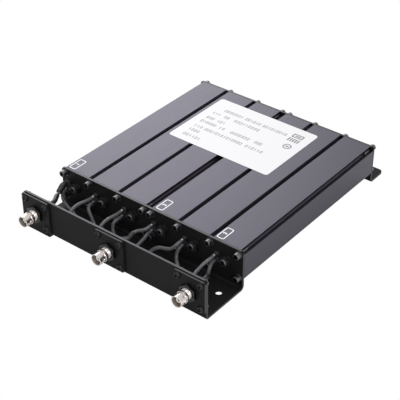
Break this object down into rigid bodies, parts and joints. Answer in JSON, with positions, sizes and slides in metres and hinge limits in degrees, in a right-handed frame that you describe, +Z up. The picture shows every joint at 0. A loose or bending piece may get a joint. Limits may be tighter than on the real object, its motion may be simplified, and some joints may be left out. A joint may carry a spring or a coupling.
{
  "type": "cavity duplexer",
  "caption": "Low radio-frequency duplexer of tuned cavities in ribbed extrusions, with folded mounting brackets, a wiring bay and bayonet coaxial jacks.",
  "frame": {"origin": "centre of the four mounting holes, on the mounting plane under the brackets", "axes": "+X along the width, +Y from the jacks to the rear bracket, +Z up from the mounting plane"},
  "size_m": [0.19, 0.272, 0.0372],
  "materials": {
    "black_paint": "satin",
    "anodised_body": "anodised satin",
    "zinc_steel": "plated",
    "dark_nut": "blackened",
    "black_nut": "gloss",
    "black_screw": "black oxide",
    "nickel_jack": "nickel plated",
    "silvered_brass": "silver plated",
    "dark_rod": "blackened",
    "white_ptfe": "waxy",
    "contact_brass": "gold plated",
    "heat_shrink": "satin",
    "coax_jacket": "satin",
    "white_label": "satin"
  },
  "bodies": {
    "root": {"front_bracket": "black_paint", "rear_bracket": "black_paint", "left_extrusion": "anodised_body", "right_extrusion": "anodised_body", "front_end_screws": "zinc_steel", "rear_end_screws": "zinc_steel", "tuning_lock_nuts": "dark_nut", "jack_nuts": "black_nut", "plate_screws": "black_screw", "plate_nuts": "zinc_steel", "tap_sleeve": "heat_shrink", "label": "white_label", "resonator_1": "silvered_brass", "coupling_taps_1": "silvered_brass", "resonator_2": "silvered_brass", "coupling_taps_2": "silvered_brass", "resonator_3": "silvered_brass", "coupling_taps_3": "silvered_brass", "resonator_4": "silvered_brass", "coupling_taps_4": "silvered_brass", "resonator_5": "silvered_brass", "coupling_taps_5": "silvered_brass", "resonator_6": "silvered_brass", "coupling_taps_6": "silvered_brass", "connector_plate_1": "black_paint", "jack_body_1": "nickel_jack", "insulator_1": "white_ptfe", "centre_contact_1": "contact_brass", "jack_sleeve_1": "heat_shrink", "connector_plate_2": "black_paint", "jack_body_2": "nickel_jack", "insulator_2": "white_ptfe", "centre_contact_2": "contact_brass", "jack_sleeve_2": "heat_shrink", "connector_plate_3": "black_paint", "jack_body_3": "nickel_jack", "insulator_3": "white_ptfe", "centre_contact_3": "contact_brass", "jack_sleeve_3": "heat_shrink", "cable_port_1": "coax_jacket", "cable_1_to_2": "coax_jacket", "cable_2_to_3": "coax_jacket", "cable_3_to_port_2": "coax_jacket", "cable_4_to_port_2": "coax_jacket", "cable_4_to_5": "coax_jacket", "cable_5_to_6": "coax_jacket", "cable_6_to_port_3": "coax_jacket"},
    "plunger_1": {"tuning_plunger_1": "silvered_brass"},
    "rod_1": {"tuning_rod_1": "dark_rod"},
    "plunger_2": {"tuning_plunger_2": "silvered_brass"},
    "rod_2": {"tuning_rod_2": "dark_rod"},
    "plunger_3": {"tuning_plunger_3": "silvered_brass"},
    "rod_3": {"tuning_rod_3": "dark_rod"},
    "plunger_4": {"tuning_plunger_4": "silvered_brass"},
    "rod_4": {"tuning_rod_4": "dark_rod"},
    "plunger_5": {"tuning_plunger_5": "silvered_brass"},
    "rod_5": {"tuning_rod_5": "dark_rod"},
    "plunger_6": {"tuning_plunger_6": "silvered_brass"},
    "rod_6": {"tuning_rod_6": "dark_rod"}
  },
  "joints": [
    {"name": "plunger_slide_1", "type": "slide", "parent": "root", "child": "plunger_1", "axis": [0, 1, 0], "range_m": [-0.012, 0.0024]},
    {"name": "rod_turn_1", "type": "hinge", "parent": "plunger_1", "child": "rod_1", "pos_m": [-0.07917, 0, 0.022], "axis": [0, 1, 0], "range_deg": [-5760.1, 1152.1]},
    {"name": "plunger_slide_2", "type": "slide", "parent": "root", "child": "plunger_2", "axis": [0, 1, 0], "range_m": [-0.012, 0.0024]},
    {"name": "rod_turn_2", "type": "hinge", "parent": "plunger_2", "child": "rod_2", "pos_m": [-0.0475, 0, 0.022], "axis": [0, 1, 0], "range_deg": [-5760.1, 1152.1]},
    {"name": "plunger_slide_3", "type": "slide", "parent": "root", "child": "plunger_3", "axis": [0, 1, 0], "range_m": [-0.012, 0.0024]},
    {"name": "rod_turn_3", "type": "hinge", "parent": "plunger_3", "child": "rod_3", "pos_m": [-0.01583, 0, 0.022], "axis": [0, 1, 0], "range_deg": [-5760.1, 1152.1]},
    {"name": "plunger_slide_4", "type": "slide", "parent": "root", "child": "plunger_4", "axis": [0, 1, 0], "range_m": [-0.012, 0.0024]},
    {"name": "rod_turn_4", "type": "hinge", "parent": "plunger_4", "child": "rod_4", "pos_m": [0.01583, 0, 0.022], "axis": [0, 1, 0], "range_deg": [-5760.1, 1152.1]},
    {"name": "plunger_slide_5", "type": "slide", "parent": "root", "child": "plunger_5", "axis": [0, 1, 0], "range_m": [-0.012, 0.0024]},
    {"name": "rod_turn_5", "type": "hinge", "parent": "plunger_5", "child": "rod_5", "pos_m": [0.0475, 0, 0.022], "axis": [0, 1, 0], "range_deg": [-5760.1, 1152.1]},
    {"name": "plunger_slide_6", "type": "slide", "parent": "root", "child": "plunger_6", "axis": [0, 1, 0], "range_m": [-0.012, 0.0024]},
    {"name": "rod_turn_6", "type": "hinge", "parent": "plunger_6", "child": "rod_6", "pos_m": [0.07917, 0, 0.022], "axis": [0, 1, 0], "range_deg": [-5760.1, 1152.1]}
  ],
  "couplings": [
    {"joint": "rod_turn_1", "follows": "plunger_slide_1", "rad_per_m": 8377.6},
    {"joint": "rod_turn_2", "follows": "plunger_slide_2", "rad_per_m": 8377.6},
    {"joint": "rod_turn_3", "follows": "plunger_slide_3", "rad_per_m": 8377.6},
    {"joint": "rod_turn_4", "follows": "plunger_slide_4", "rad_per_m": 8377.6},
    {"joint": "rod_turn_5", "follows": "plunger_slide_5", "rad_per_m": 8377.6},
    {"joint": "rod_turn_6", "follows": "plunger_slide_6", "rad_per_m": 8377.6}
  ]
}
